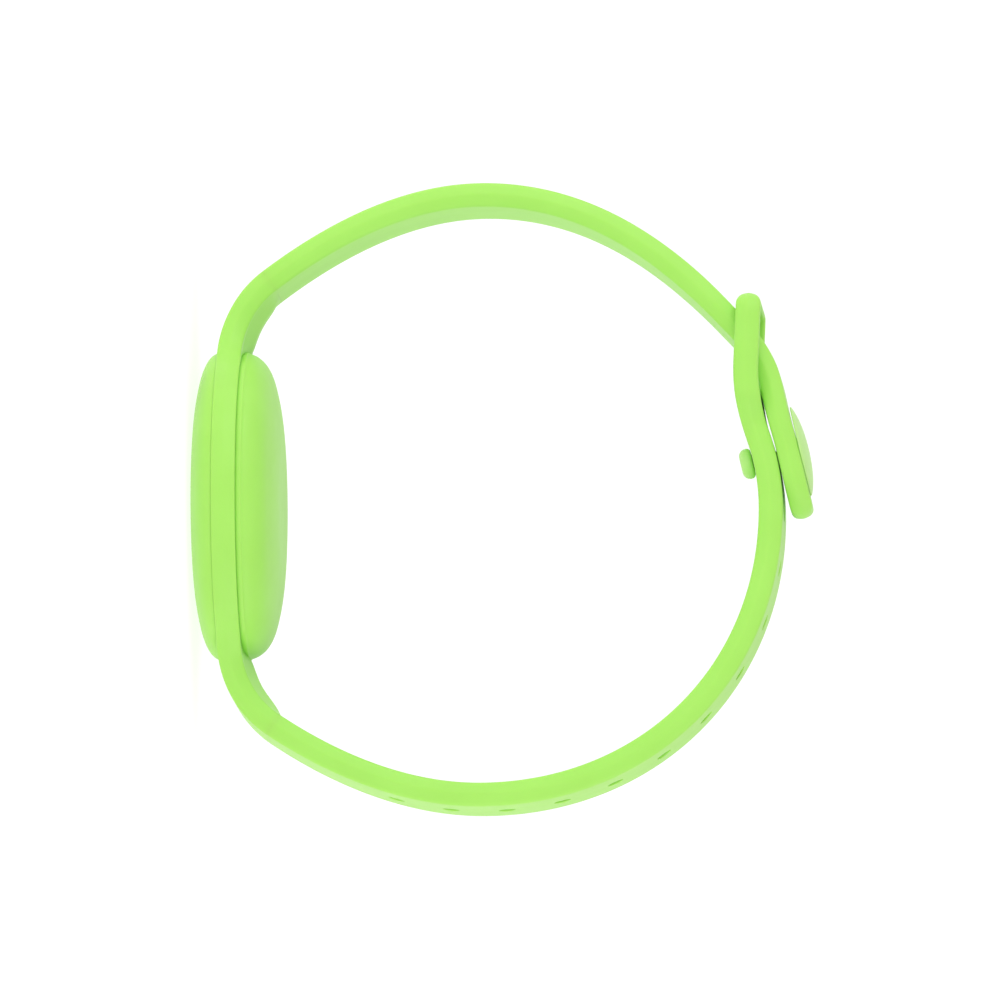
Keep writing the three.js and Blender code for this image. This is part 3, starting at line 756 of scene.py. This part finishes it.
def stud_cap(material):
    """The wide low disc on the tail's outer face."""
    base = TAIL_THICKNESS / 2 + CAP_LIFT
    top = base + CAP_HEIGHT
    rim = (CAP_RADIUS - CAP_EDGE, base + CAP_RIM)
    crown = bezier((0, top), (CAP_RADIUS * CAP_CROWN, top), rim, CROWN_STEPS)
    return on_stud(turned("stud_cap_disc", [
        (0, base),
        *quarter((CAP_RADIUS - CAP_EDGE, base + CAP_EDGE), CAP_EDGE, -90, 0, SMALL_ARC_STEPS),
        *map(tuple, crown[::-1]),
    ], material, SMALL_LATHE_STEPS))


# ------------------------------------------------------------------ materials

def linear(hex_color):
    """sRGB hex to the linear colour that shaders use."""
    values = [int(hex_color[i:i + 2], 16) / 255 for i in (1, 3, 5)]
    return tuple(v / 12.92 if v <= 0.04045 else ((v + 0.055) / 1.055) ** 2.4 for v in values) + (1.0,)


def started(name):
    """A new material with its node tree, its shader and its object coordinates."""
    material = bpy.data.materials.new(name)
    material.use_nodes = True
    tree = material.node_tree
    where = add_node(tree, "ShaderNodeTexCoord").outputs["Object"]
    return material, tree, tree.nodes["Principled BSDF"], where


def noise(tree, where, spacing, detail):
    """A noise whose features are about a spacing in millimetres apart."""
    inputs = {"Vector": where, "Scale": 1 / (spacing * MM), "Detail": detail}
    return add_node(tree, "ShaderNodeTexNoise", inputs).outputs["Fac"]


def mixed(tree, factor, dark, light):
    """A colour that drifts between two hex colours."""
    inputs = {0: factor, 6: linear(dark), 7: linear(light)}
    return add_node(tree, "ShaderNodeMix", inputs, data_type="RGBA").outputs[2]


def ranged(tree, factor, low, high):
    inputs = {"Value": factor, "To Min": low, "To Max": high}
    return add_node(tree, "ShaderNodeMapRange", inputs).outputs[0]


def bumped(tree, height, strength, depth):
    """A bump normal whose full depth is in millimetres."""
    inputs = {"Height": height, "Strength": strength, "Distance": depth * MM}
    return add_node(tree, "ShaderNodeBump", inputs).outputs[0]


def dressed(material, tree, shader, inputs):
    """Gives a shader's sockets their values, or the outputs that they follow."""
    for name, value in inputs.items():
        if isinstance(value, bpy.types.NodeSocket):
            tree.links.new(value, shader.inputs[name])
        else:
            shader.inputs[name].default_value = value
    return material


def moulded_silicone(name, light, deep):
    """Liquid silicone rubber from a spark-eroded steel mould: a satin skin with a fine even grain,
    a little light that scatters inside it, and barely visible drifts in its pigment."""
    material, tree, shader, where = started(name)
    # The real grain is about 0.03 mm, too fine to show, so it is drawn at 0.22 mm
    grain = noise(tree, where, 0.22, 2.0)
    return dressed(material, tree, shader, {
        "Base Color": mixed(tree, noise(tree, where, 7, 3.0), deep, light),
        "Roughness": ranged(tree, noise(tree, where, 2.2, 4.0), 0.42, 0.52),
        "Normal": bumped(tree, grain, 0.35, 0.02),
        "IOR": 1.41,
        "Specular IOR Level": 0.35,
        "Subsurface Weight": 0.25,
        "Subsurface Radius": (0.8, 1.0, 0.45),
        "Subsurface Scale": 1.2 * MM,
        "Sheen Weight": 0.06,
        "Sheen Roughness": 0.35,
    })


def polished_plastic():
    """White ABS, moulded and polished: clean gloss with a very slight orange peel."""
    material, tree, shader, where = started("white_polished_abs")
    peel = noise(tree, where, 1.5, 1.0)
    return dressed(material, tree, shader, {
        "Base Color": mixed(tree, peel, "#eeeeea", "#f4f4f1"),
        "Normal": bumped(tree, peel, 0.1, 0.02),
        "Roughness": 0.16,
        "IOR": 1.54,
    })


def grained_plastic():
    """Black glass-filled nylon, spark-eroded finish: dull with a fine grain."""
    material, tree, shader, where = started("black_grained_nylon")
    grain = noise(tree, where, 0.25, 3.0)
    return dressed(material, tree, shader, {
        "Base Color": mixed(tree, grain, "#1d1f21", "#303336"),
        "Normal": bumped(tree, grain, 0.5, 0.03),
        "Roughness": 0.5,
        "IOR": 1.53,
    })


def spun_steel():
    """Stainless steel, turned and brushed in circles: fine rings that stretch its highlights."""
    material, tree, shader, where = started("spun_stainless_steel")
    flat = add_node(tree, "ShaderNodeVectorMath", {0: where, 1: (1.0, 1.0, 0.0)}, operation="MULTIPLY")
    radius = add_node(tree, "ShaderNodeVectorMath", {0: flat.outputs[0]}, operation="LENGTH")
    # Brush lines are about 0.04 mm apart; they are drawn at 0.2 mm
    lines = add_node(tree, "ShaderNodeMath", {0: radius.outputs["Value"], 1: 1 / (0.2 * MM)},
                     operation="MULTIPLY")
    rings = add_node(tree, "ShaderNodeTexNoise", {"W": lines.outputs[0], "Scale": 1.0, "Detail": 2.0},
                     noise_dimensions="1D").outputs["Fac"]
    return dressed(material, tree, shader, {
        "Base Color": linear("#cfd1d2"),
        "Roughness": ranged(tree, rings, 0.18, 0.34),
        "Normal": bumped(tree, rings, 0.25, 0.01),
        "Metallic": 1.0,
    })


def plated_nickel():
    """Bright nickel plate over brass: warm metal, faintly clouded."""
    material, tree, shader, where = started("nickel_plate")
    return dressed(material, tree, shader, {
        "Base Color": linear("#d5cfc2"),
        "Roughness": ranged(tree, noise(tree, where, 1.2, 3.0), 0.16, 0.3),
        "Metallic": 1.0,
    })


def solder_mask():
    """Glass-epoxy board under green solder mask: glossy, with the weave just showing."""
    material, tree, shader, where = started("green_solder_mask")
    return dressed(material, tree, shader, {
        "Base Color": mixed(tree, noise(tree, where, 0.5, 2.0), "#17402a", "#22573a"),
        "Roughness": 0.32,
    })


def enamelled_copper():
    """Copper wire under clear enamel, wound close: fine bands across the coil."""
    material, tree, shader, where = started("enamelled_copper_wire")
    height = add_node(tree, "ShaderNodeSeparateXYZ", {"Vector": where})
    turns = add_node(tree, "ShaderNodeMath", {0: height.outputs["Z"], 1: 2 * math.pi / (0.15 * MM)},
                     operation="MULTIPLY")
    wave = add_node(tree, "ShaderNodeMath", {0: turns.outputs[0]}, operation="SINE")
    return dressed(material, tree, shader, {
        "Base Color": linear("#b8693a"),
        "Normal": bumped(tree, wave.outputs[0], 0.6, 0.03),
        "Metallic": 1.0,
        "Roughness": 0.3,
        "Coat Weight": 0.6,
    })


def seal_rubber():
    """Black nitrile rubber, moulded: dull, with a faint bloom."""
    material, tree, shader, where = started("black_nitrile_rubber")
    return dressed(material, tree, shader, {
        "Base Color": mixed(tree, noise(tree, where, 0.8, 3.0), "#1b1c1e", "#2c2e30"),
        "Roughness": 0.72,
    })


# ------------------------------------------------------------------ the object

silicone = moulded_silicone("lime_silicone", "#abe868", "#a3e05f")
# The same lime silicone made paler for the stud's post and cap: painted light, standing in for light
# that shines through the thin translucent silicone there
painted_light_silicone = moulded_silicone("lime_silicone_painted_light", "#c2f292", "#baec88")


def stand_in(piece, body, slot, *nodes):
    """Lets a piece ride on a body in the place of CAD nodes."""
    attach(piece, body)
    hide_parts(*nodes)


def add_band():
    stand_in(pod_ring(silicone), "root", "silicone", "pod_ring")
    stand_in(holed_strap(silicone), "root", "silicone", "hole_strap", "clasp_loop")
    stand_in(pod_front(silicone), "root", "silicone", "pod_front_shell")
    stand_in(pod_cover(silicone), "back_cover", "silicone", "pod_back_cover")
    stand_in(stud_post(painted_light_silicone), "tail", "silicone_cap", "stud_pin")
    stand_in(stud_cap(painted_light_silicone), "tail", "silicone_cap", "stud_cap")
    strap = stud_strap(silicone)
    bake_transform(strap)
    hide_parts("stud_strap", "strap_tail")


def add_tracker():
    """The tracker's pieces keep their CAD shapes and get the finishes of the real ones."""
    black, steel, nickel = grained_plastic(), spun_steel(), plated_nickel()
    finishes = {
        "tracker_cap": polished_plastic(),
        "tracker_base": black,
        "antenna_frame": black,
        "battery_door": steel,
        "coin_cell": steel,
        "speaker_magnet": nickel,
        "battery_contact_1": nickel,
        "battery_contact_2": nickel,
        "battery_contact_3": nickel,
        "voice_coil": enamelled_copper(),
        "circuit_board": solder_mask(),
        "door_seal": seal_rubber(),
    }
    for node, finish in finishes.items():
        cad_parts[node].material_slots[0].material = finish


add_band()
add_tracker()


# ------------------------------------------------------------------ floor, light and camera

# Places and lengths here are in metres
CAMERA_DISTANCE = 2.5
CAMERA_TARGET = Vector((-0.0006, 0.0, 0.03675))
CAMERA_SIDE = Vector((0.1285, -1.0, 0.054))  # from the target towards the camera
VIEW_WIDTH = 0.1205  # across the picture at the target
SENSOR_WIDTH = 36  # millimetres
NEAREST_SEEN, FARTHEST_SEEN = 0.05, 60
PICTURE_UP = Vector((-1, 0, 0))
SKY_LIGHT = 0.72
SKY_GLOSS = 1.0  # what the silicone reflects of the white room
SKY_SEEN = 1.05
FLOOR_GLOW = 0.8  # a lit table, which fills the object from below
FLOOR_HALF = 14.0
LIGHT_AIM = (0, 0, 0.035)
STEEP = 0.9  # past this, a light's own up is taken across the object instead


def turned_frame(back, up):
    """A rotation whose Z looks back towards the viewer and whose Y is up in the picture."""
    z = back.normalized()
    x = up.cross(z).normalized()
    return Matrix((x, z.cross(x), z)).transposed().to_4x4()


def add_camera():
    camera = bpy.data.objects.new("camera", bpy.data.cameras.new("camera"))
    bpy.context.scene.collection.objects.link(camera)
    place = CAMERA_TARGET + CAMERA_SIDE.normalized() * CAMERA_DISTANCE
    camera.matrix_world = Matrix.Translation(place) @ turned_frame(CAMERA_SIDE, PICTURE_UP)
    camera.data.sensor_width = SENSOR_WIDTH
    camera.data.lens = SENSOR_WIDTH * CAMERA_DISTANCE / VIEW_WIDTH
    camera.data.clip_start = NEAREST_SEEN
    camera.data.clip_end = FARTHEST_SEEN
    bpy.context.scene.camera = camera


def add_light(name, place, size, watts):
    """A square area light that is aimed at the object."""
    light = bpy.data.objects.new(name, bpy.data.lights.new(name, "AREA"))
    bpy.context.scene.collection.objects.link(light)
    light.data.size = size
    light.data.energy = watts
    back = Vector(place) - Vector(LIGHT_AIM)
    side = Vector((0, 1, 0)) if abs(back.normalized().z) > STEEP else Vector((0, 0, 1))
    light.matrix_world = Matrix.Translation(place) @ turned_frame(back, side)


def add_floor():
    """White paper, lit from below."""
    mesh = bpy.data.meshes.new("floor")
    corners = [(x * FLOOR_HALF, y * FLOOR_HALF, 0) for x, y in ((-1, -1), (1, -1), (1, 1), (-1, 1))]
    mesh.from_pydata(corners, [], [(0, 1, 2, 3)])
    floor = bpy.data.objects.new("floor", mesh)
    bpy.context.scene.collection.objects.link(floor)
    material, tree, shader, _ = started("white_paper_floor")
    mesh.materials.append(dressed(material, tree, shader, {
        "Base Color": linear("#8c8c8c"),
        "Roughness": 0.9,
        "Emission Color": (1, 1, 1, 1),
        "Emission Strength": FLOOR_GLOW,
    }))


def add_world():
    """A white room whose strength is set apart for diffuse, glossy and camera rays."""
    world = bpy.data.worlds.new("white_studio")
    bpy.context.scene.world = world
    world.use_nodes = True
    tree = world.node_tree
    path = add_node(tree, "ShaderNodeLightPath")
    fill = ranged(tree, path.outputs["Is Glossy Ray"], SKY_LIGHT, SKY_GLOSS)
    strength = ranged(tree, path.outputs["Is Camera Ray"], fill, SKY_SEEN)
    sky = tree.nodes["Background"]
    sky.inputs["Color"].default_value = (1, 1, 1, 1)
    tree.links.new(strength, sky.inputs["Strength"])


add_camera()
add_world()
add_floor()
add_light("key", (-1.1, -0.9, 0.35), size=0.9, watts=8)
add_light("fill", (1.2, -0.25, 0.3), size=1.0, watts=5.5)
bpy.context.scene.view_settings.view_transform = "Standard"
